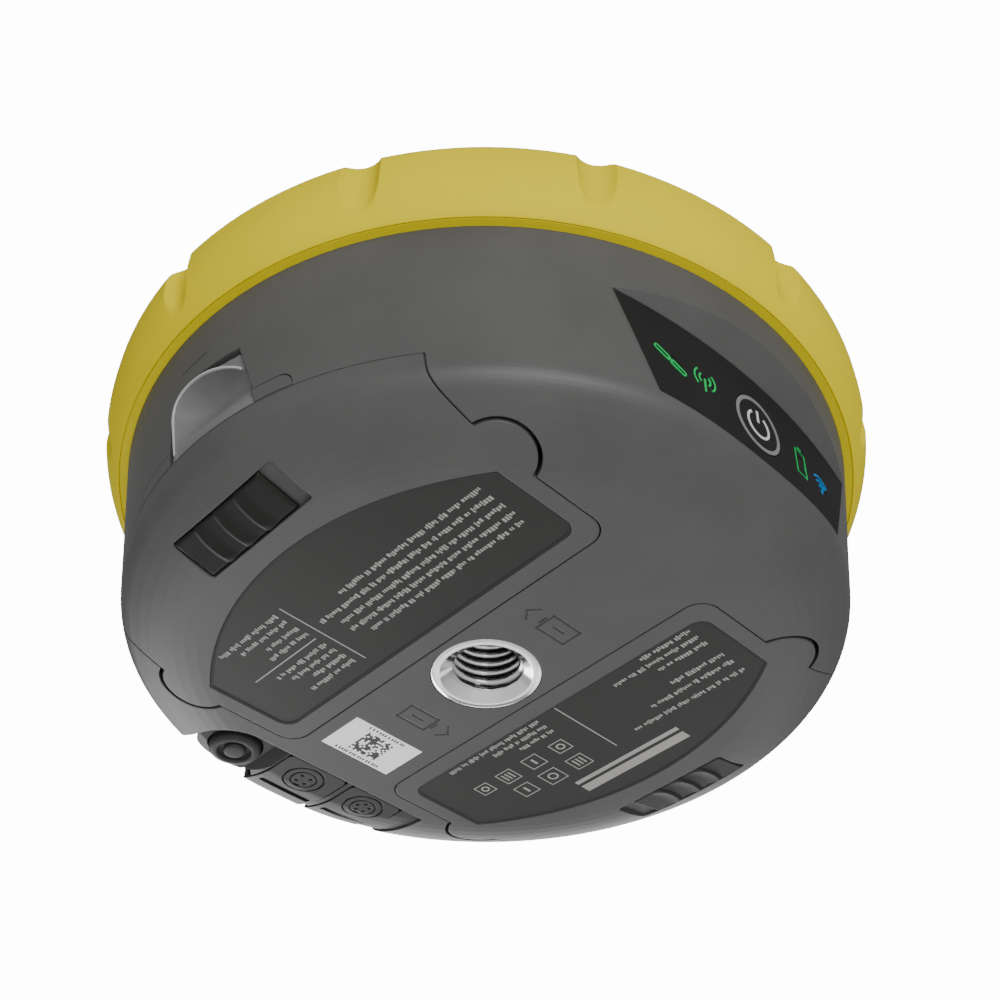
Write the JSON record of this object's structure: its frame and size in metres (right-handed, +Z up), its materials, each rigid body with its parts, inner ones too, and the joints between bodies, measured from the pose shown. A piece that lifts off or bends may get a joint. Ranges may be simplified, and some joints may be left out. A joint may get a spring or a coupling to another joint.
{
  "type": "gnss receiver",
  "caption": "Disc-shaped satellite positioning receiver that screws onto a survey pole, with a bumper ring, two battery doors underneath, a keypad and covered connectors.",
  "frame": {"origin": "centre of the pole thread's mouth, on the flat base", "axes": "+Z up, away from the pole; -Y towards the keypad, +Y towards the connectors; the battery doors are at -X (left) and +X (right)"},
  "size_m": [0.1718, 0.1718, 0.076],
  "materials": {
    "housing_grey": "fine moulded texture, satin",
    "bumper_yellow": "smooth satin",
    "dome_grey": "fine moulded texture, satin",
    "door_grey": "fine moulded texture, satin",
    "seal_rubber": "matt",
    "screw_steel": "satin",
    "insert_steel": "turned and polished",
    "sticker_white": "printed, matt",
    "scoop_grey": "smooth, semi-gloss",
    "label_dark": "printed film, satin",
    "slider_black": "satin",
    "battery_case": "satin",
    "connector_black": "matt",
    "keypad_dark": "smooth film",
    "button_dark": "smooth film",
    "board_green": "solder mask",
    "light_guide": "frosted",
    "port_black": "matt",
    "socket_metal": "plated",
    "cover_rubber": "matt",
    "socket_brass": "plated",
    "shield_metal": "tinned",
    "antenna_laminate": "bare laminate",
    "plane_aluminium": "stamped",
    "antenna_ceramic": "fired, with a plated face",
    "spacer_white": "natural nylon"
  },
  "bodies": {
    "housing": {"lower_housing": "housing_grey", "bumper_ring": "bumper_yellow", "top_cover": "dome_grey", "housing_seal": "seal_rubber", "housing_screws": "screw_steel", "pole_insert": "insert_steel", "insert_nut": "screw_steel", "data_sticker": "sticker_white", "finger_scoop_left": "scoop_grey", "finger_scoop_right": "scoop_grey", "battery_left": "battery_case", "battery_right": "battery_case", "battery_contacts_left": "connector_black", "battery_contacts_right": "connector_black", "keypad_panel": "keypad_dark", "keypad_board": "board_green", "button_switch": "shield_metal", "status_light_guides": "light_guide", "port_block": "port_black", "data_socket_left": "socket_metal", "data_socket_right": "socket_metal", "antenna_socket": "socket_brass", "main_board": "board_green", "board_standoffs": "socket_brass", "board_screws": "screw_steel", "shield_cans": "shield_metal", "radio_module": "shield_metal", "modem_module": "shield_metal", "board_connector": "connector_black", "antenna_board": "antenna_laminate", "ground_plane": "plane_aluminium", "antenna_element": "antenna_ceramic", "antenna_spacers": "spacer_white"},
    "door_left": {"battery_door_left": "door_grey", "door_hinge_pins_left": "screw_steel", "door_seal_left": "seal_rubber", "door_label_left": "label_dark"},
    "door_right": {"battery_door_right": "door_grey", "door_hinge_pins_right": "screw_steel", "door_seal_right": "seal_rubber", "door_label_right": "label_dark"},
    "latch_left": {"latch_slider_left": "slider_black", "latch_hook_left": "screw_steel"},
    "latch_right": {"latch_slider_right": "slider_black", "latch_hook_right": "screw_steel"},
    "button": {"power_button": "button_dark"},
    "cover_left": {"port_cover_left": "cover_rubber"},
    "cover_right": {"port_cover_right": "cover_rubber"},
    "cap": {"antenna_cap": "cover_rubber"}
  },
  "joints": [
    {"name": "door_left_hinge", "type": "hinge", "parent": "housing", "child": "door_left", "pos_m": [-0.018, 0, 0.0024], "axis": [0, -1, 0], "range_deg": [0, 85]},
    {"name": "door_right_hinge", "type": "hinge", "parent": "housing", "child": "door_right", "pos_m": [0.018, 0, 0.0024], "axis": [0, 1, 0], "range_deg": [0, 85]},
    {"name": "latch_left_slide", "type": "slide", "parent": "door_left", "child": "latch_left", "axis": [0, -1, 0], "range_m": [0, 0.0037]},
    {"name": "latch_right_slide", "type": "slide", "parent": "door_right", "child": "latch_right", "axis": [0, 1, 0], "range_m": [0, 0.0037]},
    {"name": "power_button_press", "type": "slide", "parent": "housing", "child": "button", "axis": [0, 1, 0], "range_m": [0, 0.0008], "stiffness_N_per_m": 800},
    {"name": "port_cover_left_hinge", "type": "hinge", "parent": "housing", "child": "cover_left", "pos_m": [-0.0026, 0.0519, 0.0021], "axis": [-1, 0, 0], "range_deg": [0, 110]},
    {"name": "port_cover_right_hinge", "type": "hinge", "parent": "housing", "child": "cover_right", "pos_m": [0.0142, 0.0519, 0.0021], "axis": [-1, 0, 0], "range_deg": [0, 110]},
    {"name": "antenna_cap_pull", "type": "slide", "parent": "housing", "child": "cap", "axis": [0, 0, -1], "range_m": [0, 0.012]}
  ]
}
